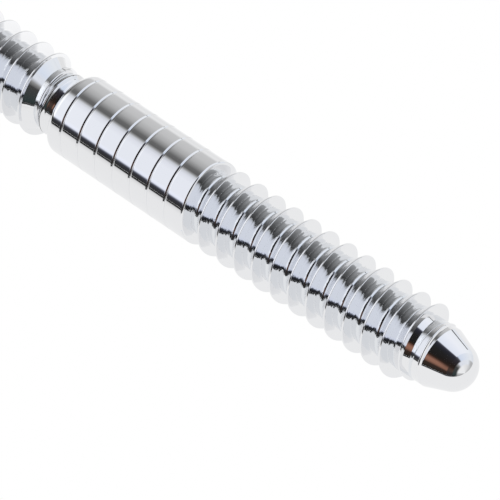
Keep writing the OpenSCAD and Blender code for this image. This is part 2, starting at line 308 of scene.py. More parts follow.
def buildPolishHaze():
    group, take, out = newGroup("polishHaze", {
        "Vector": "Vector", "Scale": "Float", "Low": "Float", "High": "Float",
    }, ["Roughness"])
    noise = addNode(group, "ShaderNodeTexNoise", Vector=take["Vector"], Scale=take["Scale"],
                    Detail=wipe["detail"], Roughness=wipe["rough"])
    haze = Wire(group, noise.outputs[0]).smooth(wipe["from"], wipe["to"], take["Low"], take["High"])
    group.links.new(haze.socket, out["Roughness"])
    return group


turningMarks = buildTurningMarks()
polishHaze = buildPolishHaze()

finishes = {
    # the tubes' chrome between the fins is the fins' chrome painted darker: painted shade of the deep
    # valleys
    "chrome_core": {"colour": (0.79, 0.81, 0.84), "metal": 1, "haze": (0.02, 0.06),
                    "spacing": 0.0007, "twist": 0.3, "depth": 0.00007, "lean": 0.05},
    "chrome_fin": {"colour": (0.86, 0.865, 0.88), "metal": 1, "haze": (0.02, 0.05),
                   "spacing": 0.0006, "twist": 0.05, "depth": 0.00002},
    "chrome_grip": {"colour": (0.86, 0.865, 0.88), "metal": 1, "haze": (0.02, 0.05),
                    "spacing": 0.002, "twist": 0.5, "depth": 0.000001},
    "chrome_neck": {"colour": (0.85, 0.855, 0.87), "metal": 1, "haze": (0.02, 0.06),
                    "spacing": 0.0006, "twist": 0.1, "depth": 0.000002},
    "chrome_nose": {"colour": (0.86, 0.865, 0.88), "metal": 1, "haze": (0.02, 0.04),
                    "spacing": 0.001, "twist": 0.3, "depth": 0.000001},
    "plain_steel": {"colour": (0.5, 0.5, 0.52), "metal": 1, "haze": (0.2, 0.35),
                    "spacing": 0.0004, "twist": 0.02, "depth": 0.000008},
    "black_rubber": {"colour": (0.02, 0.02, 0.02), "metal": 0, "haze": (0.5, 0.7),
                     "spacing": 0.0003, "twist": 1, "depth": 0.00001},
}


def buildFinish(name, look):
    material = bpy.data.materials.new(name + ".look")
    material.use_nodes = True
    tree = material.node_tree
    shader = tree.nodes["Principled BSDF"]
    shader.inputs["Base Color"].default_value = (*look["colour"], 1)
    shader.inputs["Metallic"].default_value = look["metal"]
    place = Wire(tree, tree.nodes.new("ShaderNodeTexCoord").outputs["Object"])
    marks = tree.nodes.new("ShaderNodeGroup")
    marks.node_tree = turningMarks
    for label in ("Spacing", "Twist", "Depth", "Lean"):
        plug(tree, look.get(label.lower(), 0), marks.inputs[label])
    plug(tree, place, marks.inputs["Vector"])
    bump = addNode(tree, "ShaderNodeBump", Height=Wire(tree, marks.outputs["Height"]), Distance=1)
    haze = tree.nodes.new("ShaderNodeGroup")
    haze.node_tree = polishHaze
    low, high = look["haze"]
    for label, value in (("Vector", place), ("Scale", wipe["scale"]), ("Low", low), ("High", high)):
        plug(tree, value, haze.inputs[label])
    tree.links.new(bump.outputs["Normal"], shader.inputs["Normal"])
    tree.links.new(haze.outputs["Roughness"], shader.inputs["Roughness"])
    return material


finish = {name: buildFinish(name, look) for name, look in finishes.items()}
print("finishes:", ", ".join(finish))

# spiral fins: one land with a steep front and a sloping back, run out at its ends
fin = {
    "lead": 8.13, "tailLead": 5.9, "startAngle": -175, "startSink": 1.11, "startIn": 1.2,
    "endTail": 0.85, "endStop": 1.8,
    "centreAngle": -77, "centreTail": 0.6, "centreTailLead": 3.8, "centreStop": 2.8,
    "topHalf": 0.15, "front": (0.15, 0.12, 0), "back": (0.3, 1.0, 45),   # shoulder, fillet and taper
    "ridgeShare": 0.3, "fadeFrom": 0.38, "fadeTo": 0.8, "closeFrom": 0.92, "endShare": 0.2,
    "sink": 0.03, "skin": 0.01, "profile": 28, "perTurn": 240,
}
filletPart = 0.42   # shares of the profile's points from foot to rim
flankPart = 0.1
rimPart = 1 - filletPart - flankPart
landInputs = ("Foot Half", "Fillet", "Flank", "Taper", "Shoulder")


# share of the height left in a tail, which fades to a low ridge and then closes
def fadeOut(over, tail, keep):
    share = over / tail
    low = share.smooth(fin["fadeFrom"], fin["fadeTo"], 1, keep)
    return low * share.smooth(fin["closeFrom"], 1, 1, fin["endShare"])


def buildFinTree():
    tree, take = newTree("spiralFin", [
        "Turns", "Lead", "Tail Lead", "Start Tail", "End Tail", "Start X", "Start Angle", "Low X",
        "High X", "Root Radius", "Ridge Share", *landInputs, *("Back " + label for label in landInputs),
    ])
    count = fin["profile"]
    mesh, along, across = gridOf(tree, take["Steps"], count + 1)
    turn = along * take["Turns"]
    startRun = turn.math("MINIMUM", take["Start Tail"])
    endRun = (turn - (take["Turns"] - take["End Tail"])).math("MAXIMUM", 0)
    fullRun = turn - startRun - endRun
    middle = take["Start X"] + take["Lead"] * fullRun + take["Tail Lead"] * (startRun + endRun)
    share = fadeOut(take["Start Tail"] - startRun, take["Start Tail"], take["Ridge Share"])
    share = share * fadeOut(endRun, take["End Tail"], take["Ridge Share"])
    loop = closedLoop(across, count)
    side = loop * 2 - 1
    up = side.math("ABSOLUTE") * -1 + 1
    # the side towards +X and the back have shapes of their own
    front = side.math("GREATER_THAN", 0)
    footHalf, fillet, flankRun, taper, shoulder = (
        take["Back " + label] + (take[label] - take["Back " + label]) * front for label in landInputs)
    sweep = taper * -1 + math.pi / 2
    filletTurn = (up / filletPart).limit(0, 1) * sweep
    flank = ((up - filletPart) / flankPart).limit(0, 1) * flankRun
    rimTurn = ((up - filletPart - flankPart) / rimPart).limit(0, 1) * sweep + taper
    lean, rise = taper.math("SINE"), taper.math("COSINE")
    thick = footHalf - fillet * filletTurn.math("SINE") - flank * lean
    thick = thick - shoulder * (rise - rimTurn.math("COSINE"))
    tall = fillet * (filletTurn.math("COSINE") * -1 + 1) + flank * rise
    tall = tall + shoulder * (rimTurn.math("SINE") - lean)
    # both end rows draw together to a point
    rowEdge = along.math("MINIMUM", along * -1 + 1) * take["Steps"]
    openRow = rowEdge.limit(0, 1)
    x = middle + side.math("SIGN") * thick * openRow
    x = x.math("MAXIMUM", take["Low X"] + loop * fin["skin"]).math("MINIMUM", take["High X"])
    radius = take["Root Radius"] + tall * share * openRow
    angle = take["Start Angle"] + turn * (2 * math.pi)
    return endTree(tree, mesh, aroundAxis(tree, x, radius, angle), take["Finish"])


finTree = buildFinTree()


# outline of a land of a given height: on each side a rim and a fillet joined by a leaning flank
def landShape(tall, look):
    shape = {}
    for prefix, (shoulder, fillet, taper) in (("", look["front"]), ("Back ", look["back"])):
        lean = math.radians(taper)
        flank = (tall - (shoulder + fillet) * (1 - math.sin(lean))) / math.cos(lean)
        foot = look["topHalf"] + (shoulder + fillet) * math.cos(lean) + flank * math.sin(lean)
        for label, value in zip(landInputs, (foot, fillet, flank, lean, shoulder)):
            shape[prefix + label] = value
    return shape


finShape = {
    "Lead": fin["lead"], "Tail Lead": fin["tailLead"], "Root Radius": coreRadius - fin["sink"],
    "Ridge Share": fin["ridgeShare"], "Finish": finish["chrome_fin"],
    **landShape(gripRadius - coreRadius + fin["sink"], fin),
}


def makeFin(name, values, turns, startTail, endTail, startX, startAngle, lowX, highX):
    steps = math.ceil(turns * fin["perTurn"])
    return weld(name, [grow(name, finTree, {
        **values, "Turns": turns, "Start Tail": startTail, "End Tail": endTail, "Start X": startX,
        "Start Angle": startAngle, "Low X": lowX, "High X": highX, "Steps": steps,
    })])


# eased step from 0 to 1, as the trees make it
def ease(value, low, high):
    share = min(max((value - low) / (high - low), 0), 1)
    return share * share * (3 - 2 * share)


# slope in front of a turn, in rows of corners from the turn's middle down to the tube
def slopeRows(look, placeAt):
    foot = coreRadius - fin["sink"]
    rows = []
    for i in range(look["steps"] + 1):
        angle = look["from"] + (look["to"] - look["from"]) * i / look["steps"]
        x = placeAt(angle)
        edge = min(angle - look["from"], look["to"] - angle)
        crest = coreRadius + look["height"] * ease(edge, 0, look["ease"])
        rows.append((math.radians(angle), [(x, foot), (x, crest), (x + look["width"], foot)]))
    return rows


# closed strip through rows of corners, each row a loop of [along, radius] at its own angle
def strip(name, rows, surface):
    mesh = bpy.data.meshes.new(name)
    count = len(rows[0][1])
    spots = [(x, r * math.cos(a), r * math.sin(a)) for a, loop in rows for x, r in loop]
    faces = [list(range(count)), list(range(len(spots) - count, len(spots)))]
    for i in range(len(rows) - 1):
        for j in range(count):
            k = (j + 1) % count
            faces.append([i * count + j, i * count + k, (i + 1) * count + k, (i + 1) * count + j])
    mesh.from_pydata(spots, [], faces)
    mesh.materials.append(surface)
    return mesh


# fins of the shafts, with a low slope at the foot of the last turn beside each nose
noseSlope = {"height": 0.9, "width": 2.7, "from": 60, "to": 195, "ease": 25, "steps": 54}


def endFinRun():
    start = gripTo - fin["startSink"]
    finTo = tubeTo - fin["endStop"]
    return start, (finTo - start - fin["tailLead"] * fin["endTail"]) / fin["lead"] + fin["endTail"]


def makeNoseSlope(turns, startX):
    start = noseSlope["from"]
    offset = (start - fin["startAngle"]) / 360
    lastTurn = math.floor(turns - offset) + offset
    full = turns - fin["endTail"]

    # how far along the fin's middle is at an angle of its last turn
    def placeAt(angle):
        turn = lastTurn + (angle - start) / 360
        return startX + fin["lead"] * min(turn, full) + fin["tailLead"] * max(turn - full, 0)

    return strip("noseSlope", slopeRows(noseSlope, placeAt), finish["chrome_fin"])


def makeEndFin():
    start, turns = endFinRun()
    startAngle = math.radians(fin["startAngle"])
    lowX = gripTo - fin["startIn"]
    land = makeFin("land", finShape, turns, 0.0, fin["endTail"], start, startAngle, lowX, tubeTo)
    return weld("spiral_fin", [land, makeNoseSlope(turns, start)])


# fin of the centre, with a tall slope in front of its last turn and a low ridge beside each neck
neckSlope = {"height": 2.95, "width": 3.75, "from": 10, "to": 235, "ease": 25, "steps": 75}
neckRidge = {"tall": 0.8, "turns": 0.5, "tail": 0.12, "start": 49.4, "angle": 20,
             "topHalf": 0.05, "front": (0.4, 0.4, 20), "back": (0.4, 0.4, 20)}


def centreFinRun():
    reachX = centreTo + half - fin["centreStop"]
    turns = 2 * ((reachX - fin["centreTailLead"] * fin["centreTail"]) / fin["lead"] + fin["centreTail"])
    return reachX, turns, math.radians(fin["centreAngle"]) - math.pi * turns


def makeNeckSlope():
    wholeTurns = math.floor(neckRidge["start"] / fin["lead"]) - 1

    def placeAt(angle):
        return fin["lead"] * (wholeTurns + (angle - fin["centreAngle"]) / 360)

    return strip("neckSlope", slopeRows(neckSlope, placeAt), finish["chrome_fin"])


def makeNeckRidge(edge):
    lead, tail = fin["tailLead"], neckRidge["tail"]
    shape = {**finShape, "Lead": lead, "Tail Lead": lead, **landShape(neckRidge["tall"], neckRidge)}
    startAngle = math.radians(neckRidge["angle"])
    return makeFin("neckRidge", shape, neckRidge["turns"], tail, tail, neckRidge["start"], startAngle,
                   -edge, edge)


def makeCentreFin():
    edge = centreTo + half
    tail = fin["centreTail"]
    reachX, turns, startAngle = centreFinRun()
    shape = {**finShape, "Tail Lead": fin["centreTailLead"]}
    parts = [makeFin("centreLand", shape, turns, tail, tail, -reachX, startAngle, -edge, edge)]
    for turned in (0, math.pi):
        for mesh in (makeNeckSlope(), makeNeckRidge(edge)):
            mesh.transform(Matrix.Rotation(turned, 4, "Z"))
            parts.append(mesh)
    return weld("centre_spiral_fin", parts)


setEnds("spiral_fin", makeEndFin(), "section", "chrome_fin")
centreFin = makeCentreFin()
setPiece("centre_spiral_fin.skin", centreFin, Matrix.Scale(mm, 4), "centre", "chrome_fin",
         "centre_spiral_fin")
print("fins: three spirals")

# grips: smooth sleeves with rounded ends and one fine spiral groove
grip = {
    "neckRound": 2.2, "shoulderRound": 0.9, "neckHole": 9.72, "inside": 0.02,
    "grooveWidth": 1.3, "grooveDepth": 0.28, "exitAngle": 228, "seamAngle": -90,
    "notchFrom": -75, "notchFull": -30, "notchEdge": 0.36, "topShare": 0.5, "topFrom": 20, "topFull": 85,
    "columns": 44, "gather": 0.85, "segments": 180, "faceWalk": 3, "notchWalk": 5,
}


def buildGripTree():
    tree, take = newTree("groovedGrip", [
        "From X", "Straight", "Radius", "Neck Round", "Shoulder Round", "Neck Face", "Shoulder Face",
        "Lead", "Groove Start", "Groove Half", "Groove Depth", "Turns", "Exit Angle", "Notch From",
        "Notch Full", "Notch Edge",
    ])
    mesh, along, around = gridOf(tree, take["Steps"], grip["segments"] + 1)
    # columns follow the groove and gather close at it
    turn = along * take["Turns"]
    wave = (turn * (2 * math.pi)).math("SINE") * (grip["gather"] / (2 * math.pi))
    walk = take["Groove Start"] + take["Lead"] * (turn - wave + around)
    neckArc = take["Neck Round"] * (math.pi / 2)
    shoulderArc = take["Shoulder Round"] * (math.pi / 2)
    # past the last groove line the wall is open down to the tube, so the land ends at the groove there
    angle = around * (2 * math.pi) + math.radians(grip["seamAngle"])
    notch = take["Lead"] * ((take["Exit Angle"] - angle) / (2 * math.pi)) - take["Notch Edge"]
    notch = notch.math("MAXIMUM", 0) * angle.smooth(take["Notch From"], take["Notch Full"], 0, 1)
    topFrom, topFull = math.radians(grip["topFrom"]), math.radians(grip["topFull"])
    notch = notch * angle.smooth(topFrom, topFull, grip["topShare"], 1)
    wall = take["Straight"] - notch
    rise = walk.limit(0, take["Neck Face"])
    neckTurn = (walk - take["Neck Face"]).limit(0, neckArc) / take["Neck Round"]
    level = walk - take["Neck Face"] - neckArc
    straight = level.math("MAXIMUM", 0).math("MINIMUM", wall)
    past = level - wall
    shoulderTurn = past.limit(0, shoulderArc) / take["Shoulder Round"]
    down = past - shoulderArc
    faceShare = (down / grip["faceWalk"]).limit(0, 1)
    notchShare = ((down - grip["faceWalk"]) / grip["notchWalk"]).limit(0, 1)
    foot = notch * notchShare
    fall = take["Shoulder Face"] * faceShare
    x = take["From X"] + take["Neck Round"] * (neckTurn.math("COSINE") * -1 + 1) + straight
    x = x + take["Shoulder Round"] * shoulderTurn.math("SINE") + foot
    radius = take["Radius"] - take["Neck Round"] - take["Neck Face"] + rise
    radius = radius + take["Neck Round"] * neckTurn.math("SINE")
    radius = radius - take["Shoulder Round"] * (shoulderTurn.math("COSINE") * -1 + 1) - fall
    offGroove = ((turn - wave + 0.5).math("FRACT") - 0.5).math("ABSOLUTE") * take["Lead"]
    cut = offGroove.smooth(0, take["Groove Half"], take["Groove Depth"], 0)
    fromNeck = (straight / take["Neck Round"]).limit(0, 1)
    fromShoulder = ((wall - straight) / take["Neck Round"]).limit(0, 1)
    radius = radius - cut * (fromNeck * fromShoulder)
    return endTree(tree, mesh, aroundAxis(tree, x, radius, angle), take["Finish"])


gripTree = buildGripTree()


def makeGrip():
    lead = fin["lead"]
    neckFaceRun = gripRadius - grip["neckRound"] - grip["neckHole"]
    bore = coreRadius - grip["inside"]
    shoulderFaceRun = gripRadius - grip["shoulderRound"] - bore
    straight = gripTo - gripFrom - grip["neckRound"] - grip["shoulderRound"]
    edgeRun = neckFaceRun + math.pi / 2 * grip["neckRound"]
    wallRun = edgeRun + straight + math.pi / 2 * grip["shoulderRound"]
    whole = wallRun + grip["faceWalk"] + grip["notchWalk"]
    # where the groove's line would meet the run at the seam, stepped back before its start
    exitRun = edgeRun + gripTo - gripFrom - grip["neckRound"]
    start = exitRun - lead * (grip["exitAngle"] - grip["seamAngle"]) / 360
    start = start - lead * (math.ceil(start / lead) + 1)
    turns = math.ceil((whole - start) / lead) + 1
    outside = grow("gripOutside", gripTree, {
        "From X": gripFrom, "Straight": straight, "Radius": gripRadius, "Neck Round": grip["neckRound"],
        "Shoulder Round": grip["shoulderRound"], "Neck Face": neckFaceRun,
        "Shoulder Face": shoulderFaceRun, "Lead": lead, "Groove Start": start,
        "Groove Half": grip["grooveWidth"] / 2, "Groove Depth": grip["grooveDepth"], "Turns": float(turns),
        "Exit Angle": math.radians(grip["exitAngle"]), "Notch From": math.radians(grip["notchFrom"]),
        "Notch Full": math.radians(grip["notchFull"]), "Notch Edge": grip["notchEdge"],
        "Steps": turns * grip["columns"] + 1, "Finish": finish["chrome_grip"],
    })
    inside = lathe("gripInside", [
        (gripTo, bore), (tubeFrom, bore), (tubeFrom, grip["neckHole"]), (gripFrom, grip["neckHole"]),
    ], finish["chrome_grip"], grip["segments"])
    return weld("grip_sleeve", [outside, inside])


setEnds("grip_sleeve", makeGrip(), "section", "chrome_grip")
print("grips: two grooved sleeves")

# screw threads: ridges round a bar, or inwards from a hole
thread = {"height": 0.9, "clear": 0.2, "footShare": 0.3, "crestShare": 0.1, "easeTurn": 0.3, "sink": 0.2,
          "profile": 5, "perTurn": 48, "jointLead": 4, "noseLead": 3, "plainShare": 0.25, "tipShare": 0.1}


def buildThreadTree():
    tree, take = newTree("screwThread", [
        "From X", "Turns", "Lead", "Angle", "Foot Radius", "Crest Radius", "Foot Half", "Crest Half",
        "Ease Turn",
    ])
    count = thread["profile"]
    mesh, along, across = gridOf(tree, take["Steps"], count + 1)
    turn = along * take["Turns"]
    side = closedLoop(across, count) * 2 - 1
    up = side.math("ABSOLUTE") * -1 + 1
    flank = (up * 2).limit(0, 1)
    thick = take["Foot Half"] + (take["Crest Half"] - take["Foot Half"]) * flank
    thick = thick * ((up * 2 - 1).limit(0, 1) * -1 + 1)
    fromEnd = turn.math("MINIMUM", take["Turns"] - turn)
    grown = fromEnd.smooth(0, take["Ease Turn"], 0, 1)
    x = take["From X"] + turn * take["Lead"] + side.math("SIGN") * thick * grown
    radius = take["Foot Radius"] + (take["Crest Radius"] - take["Foot Radius"]) * flank * grown
    angle = take["Angle"] + turn * (2 * math.pi)
    return endTree(tree, mesh, aroundAxis(tree, x, radius, angle), take["Finish"])


threadTree = buildThreadTree()


def makeThread(name, start, end, lead, foot, crest, shift, surface):
    turns = (end - start) / lead
    return grow(name, threadTree, {
        "From X": start, "Turns": turns, "Lead": lead, "Angle": 2 * math.pi * (start - shift) / lead,
        "Foot Radius": foot, "Crest Radius": crest, "Foot Half": lead * thread["footShare"],
        "Crest Half": lead * thread["crestShare"], "Ease Turn": thread["easeTurn"],
        "Steps": math.ceil(turns * thread["perTurn"]) + 1, "Finish": surface,
    })


# tubes between the fins, with a low lip on each valley's floor where the slope up to the next turn begins
tube = {"wall": 2, "edge": 0.15, "sharpAt": 30}
lip = {"after": 3.0, "tall": 0.4, "stopTurns": 1.05, "tail": 0.3, "early": 0.62,
       "topHalf": 0.05, "front": (1.5, 0.5, 50), "back": (2.0, 0.1, 78)}


# the tubes take the darker chrome, whose colour holds painted shade of the valleys between the fins
def makeTube(name, start, end):
    bore = coreRadius - tube["wall"]
    edge = tube["edge"]
    return lathe(name, [
        (start, bore), (start, coreRadius - edge), (start + edge, coreRadius),
        (end - edge, coreRadius), (end, coreRadius - edge), (end, bore),
    ], finish["chrome_core"], rounds["tube"], loop=True)


def makeLip(name, turns, startX, startAngle, early, low, high):
    shape = {**finShape, "Tail Lead": fin["lead"], "Finish": finish["chrome_core"],
             **landShape(lip["tall"], lip)}
    startX = startX + lip["after"] - early * fin["lead"]
    startAngle = startAngle - 2 * math.pi * early
    turns = turns + early - lip["stopTurns"]
    return makeFin(name, shape, turns, lip["tail"], lip["tail"], startX, startAngle, low, high)


def makeShaftTube():
    start, turns = endFinRun()
    startAngle = math.radians(fin["startAngle"])
    ridge = makeLip("shaftLip", turns, start, startAngle, lip["early"], gripTo - fin["lead"], tubeTo)
    return weld("shaft_tube", [makeTube("shaftTube", tubeFrom, tubeTo), ridge], tube["sharpAt"])


def makeCentreTube():
    reachX, turns, startAngle = centreFinRun()
    ridge = makeLip("centreLip", turns, -half - reachX, startAngle, 0, centreFrom, centreTo)
    return weld("centre_tube", [makeTube("centreTube", centreFrom, centreTo), ridge], tube["sharpAt"])


setEnds("shaft_tube", makeShaftTube(), "section", "chrome_core")
setPiece("centre_tube.skin", makeCentreTube(), nearPlace, "centre", "chrome_core", "centre_tube")
print("tubes: centre and two shafts")

# section joints: bead halves, waisted necks, studs and seals
neck = {"beadRun": 1.3, "beadFoot": 10.9, "waist": 9.7, "waistShare": 0.75, "steps": 14,
        "ringClear": 0.1, "push": 0.02, "chamfer": 0.6, "cordSteps": 24}
studRoot = studRadius - thread["height"]
jointHole = studTo + thread["jointLead"] / 2


# soft swell from a foot up to the bead's crest
def swell(foot, footRadius, crest):
    points = []
    for i in range(neck["steps"] + 1):
        share = i / neck["steps"]
        rise = (1 - math.cos(math.pi * share)) / 2
        points.append((foot + (crest - foot) * share, footRadius + (beadRadius - footRadius) * rise))
    return points


# corners of the ring groove in a face that holds a seal
def sealGroove(face, start, end, radius):
    clear = neck["ringClear"]
    inner = radius - (end - start) - clear
    outer = radius + clear
    return [(face, inner), (end + clear, inner), (end + clear, outer), (face, outer)]


def makeSeal(name, start, end, radius):
    cord = end - start
    ring = arc((start + end) / 2, radius - cord / 2, cord / 2, 0, 360, neck["cordSteps"])[:-1]
    return weld(name, [lathe(name, ring, finish["black_rubber"], rounds["hidden"], loop=True)])


def makeCentrePlug():
    hole = studRadius + neck["push"]
    bead = swell(centreTo, coreRadius - tube["edge"], centrePlugFace)
    return weld("centre_plug", [lathe("plug", [
        (centrePlugFrom, 0), (centrePlugFrom, plugRadius), (centreTo, plugRadius), *bead,
        (centrePlugFace, hole), (studFrom, hole), (studFrom, 0),
    ], finish["chrome_neck"], rounds["shown"])])


def makeStud():
    bar = lathe("studBar", [
        (studFrom, 0), (studFrom, studRadius), (centrePlugFace, studRadius), (centrePlugFace, studRoot),
        (studTo - neck["chamfer"], studRoot), (studTo, studRoot - neck["chamfer"]), (studTo, 0),
    ], finish["plain_steel"], rounds["hidden"])
    lead = thread["jointLead"]
    ridge = makeThread("studThread", lead * thread["plainShare"], studTo - lead * thread["tipShare"], lead,
                       studRoot - thread["sink"], studRadius, 0, finish["plain_steel"])
    return weld("joint_stud", [bar, ridge])


def makeJointPlug():
    neckStart = neckFace + neck["beadRun"]
    neckRun = neck["waistShare"] * (gripFrom - neckStart)
    hole = studRadius + thread["clear"]
    bead = swell(neckStart, neck["beadFoot"], neckFace)[::-1]
    waist = []
    for i in range(1, neck["steps"] + 1):
        share = i / neck["steps"]
        radius = neck["waist"] + (neck["beadFoot"] - neck["waist"]) * (1 - share) ** 2
        waist.append((neckStart + neckRun * share, radius))
    body = lathe("plugBody", [
        (jointHole, 0), (jointHole, hole), (neckFace, hole),
        *sealGroove(neckFace, sealFrom, sealTo, sealRadius), *bead, *waist,
        (tubeFrom, neck["waist"]), (tubeFrom, plugRadius), (neckPlugTo, plugRadius), (neckPlugTo, 0),
    ], finish["chrome_neck"], rounds["shown"])
    lead = thread["jointLead"]
    plain = lead * thread["plainShare"]
    ridge = makeThread("plugThread", neckFace + plain, jointHole - plain, lead, hole + thread["sink"],
                       studRoot + thread["clear"], lead / 2, finish["chrome_neck"])
    return weld("joint_plug", [body, ridge])


setEnds("centre_plug", makeCentrePlug(), "centre", "chrome_neck")
setEnds("joint_stud", makeStud(), "centre", "plain_steel")
setEnds("joint_plug", makeJointPlug(), "section", "chrome_neck")
jointSeal = makeSeal("joint_o_ring", sealFrom, sealTo, sealRadius)
setEnds("joint_o_ring", jointSeal, "joint_seal", "black_rubber")
print("necks: plugs, studs and seals")

# noses: collar with a low spiral bead, cone, round tip and threaded stub
nose = {"seam": 0.1, "collar": 3.7, "edge": 0.1, "held": (0.02, 0.5), "tipRadius": 8.7, "tipSteps": 40,
        "stubRadius": 5}
noseBead = {"height": 1.0, "root": 0.7, "start": 0.8, "angle": 25, "turn": 0.5, "rise": 0.56, "reach": 4,
            "ridgeShare": 0.67, "topHalf": 0.05, "front": (0.4, 0.8, 20), "back": (0.4, 0.8, 20)}
noseFrom = tubeTo + nose["seam"]
collarTo = noseFrom + nose["collar"]
stubRoot = nose["stubRadius"] - thread["height"]


def makeNoseBead():
    tall = noseBead["height"] + noseBead["root"]
    shape = {**finShape, "Root Radius": coreRadius - noseBead["root"],
             "Ridge Share": noseBead["ridgeShare"], "Finish": finish["chrome_nose"],
             **landShape(tall, noseBead)}
    turn = noseBead["turn"]
    startTail = turn * noseBead["rise"]
    return makeFin("noseBead", shape, turn, startTail, turn - startTail, noseFrom + noseBead["start"],
                   math.radians(noseBead["angle"]), noseFrom, collarTo + noseBead["reach"])


def makeNose():
    ball = noseTip - nose["tipRadius"]
    away = math.hypot(collarTo - ball, coreRadius)
    lean = math.atan2(coreRadius, collarTo - ball)
    tangent = math.degrees(lean - math.acos(nose["tipRadius"] / away))
    tip = arc(ball, 0, nose["tipRadius"], tangent, 0, nose["tipSteps"])
    tip[-1] = (noseTip, 0)
    # points along the cone keep its shading straight
    coneTo, coneRadius = tip[0]
    held = [(collarTo + (coneTo - collarTo) * u, coreRadius + (coneRadius - coreRadius) * u)
            for u in nose["held"]]
    body = lathe("noseBody", [
        (stubFrom, 0), (stubFrom, stubRoot - neck["chamfer"]), (stubFrom + neck["chamfer"], stubRoot),
        (noseFrom, stubRoot), *sealGroove(noseFrom, noseSealFrom, noseSealTo, noseSealRadius),
        (noseFrom, coreRadius), (collarTo - nose["edge"], coreRadius), (collarTo, coreRadius), *held, *tip,
    ], finish["chrome_nose"], rounds["shown"])
    lead = thread["noseLead"]
    threadFrom = stubFrom + lead * thread["tipShare"]
    threadTo = tubeTo - lead * thread["plainShare"]
    ridge = makeThread("noseThread", threadFrom, threadTo, lead, stubRoot - thread["sink"],
                       nose["stubRadius"], 0, finish["chrome_nose"])
    return weld("nose_cone", [body, makeNoseBead(), ridge])


def makeEndPlug():
    hole = nose["stubRadius"] + thread["clear"]
    lead = thread["noseLead"]
    plain = lead * thread["plainShare"]
    holeFrom = stubFrom - lead / 2
    body = lathe("endPlugBody", [
        (endPlugFrom, 0), (endPlugFrom, plugRadius), (endPlugTo, plugRadius), (endPlugTo, hole),
        (holeFrom, hole), (holeFrom, 0),
    ], finish["chrome_neck"], rounds["hidden"])
    ridge = makeThread("endPlugThread", holeFrom + plain, tubeTo - plain, lead, hole + thread["sink"],
                       stubRoot + thread["clear"], lead / 2, finish["chrome_neck"])
    return weld("end_plug", [body, ridge])


setEnds("nose_cone", makeNose(), "nose", "chrome_nose")
setEnds("end_plug", makeEndPlug(), "section", "chrome_neck")
noseSeal = makeSeal("nose_o_ring", noseSealFrom, noseSealTo, noseSealRadius)
setEnds("nose_o_ring", noseSeal, "nose_seal", "black_rubber")
for end in endPlaces:
    weight = frame["nodes"][end + "_end_weight"]
    weight.data.materials.clear()
    weight.data.materials.append(finish["plain_steel"])
print("ends: noses, end plugs, seals and weights")

# camera at the photograph's view
view = {"azimuth": 42.95, "elevation": 46.12, "distance": 1.56, "lens": 336.2, "sensor": 36, "clip": 20,
        "target": (0.14773, -0.006876, 0)}


def setCamera():
    az, el = math.radians(view["azimuth"]), math.radians(view["elevation"])
    back = Vector((math.sin(az) * math.cos(el), -math.cos(az) * math.cos(el), math.sin(el)))
    data = bpy.data.cameras.new("photoCamera")
    data.sensor_width = view["sensor"]
    data.lens = view["lens"]
    data.clip_end = view["clip"]
    camera = bpy.data.objects.new("photoCamera", data)
    camera.rotation_euler = back.to_track_quat("Z", "Y").to_euler()
    camera.location = Vector(view["target"]) + back * view["distance"]
    bpy.context.scene.collection.objects.link(camera)
    bpy.context.scene.camera = camera


setCamera()


# white floor and studio: painted light on the floor by floor place, seen only in mirrors, and brightness
# by mirror direction above it
def grey(value):
    return (value, value, value)


# painted light on the floor for mirror rays: a bright band just behind the stick, a little darker towards
# +X, and dark towards the camera
floorLook = {
    "size": 4, "reach": 0.4,
    "stops": [(-0.4, 0.5), (-0.21, 0.69), (-0.13, 0.81), (-0.07, 0.91), (0, 0.92), (0.012, 0.95),
              (0.032, 1.08), (0.05, 0.97), (0.083, 0.86), (0.27, 0.86), (0.4, 0.88)],
    "dimFrom": (0.115, 0.14), "dim": 0.93, "farFrom": (-0.29, -0.2), "far": 0.03,
}
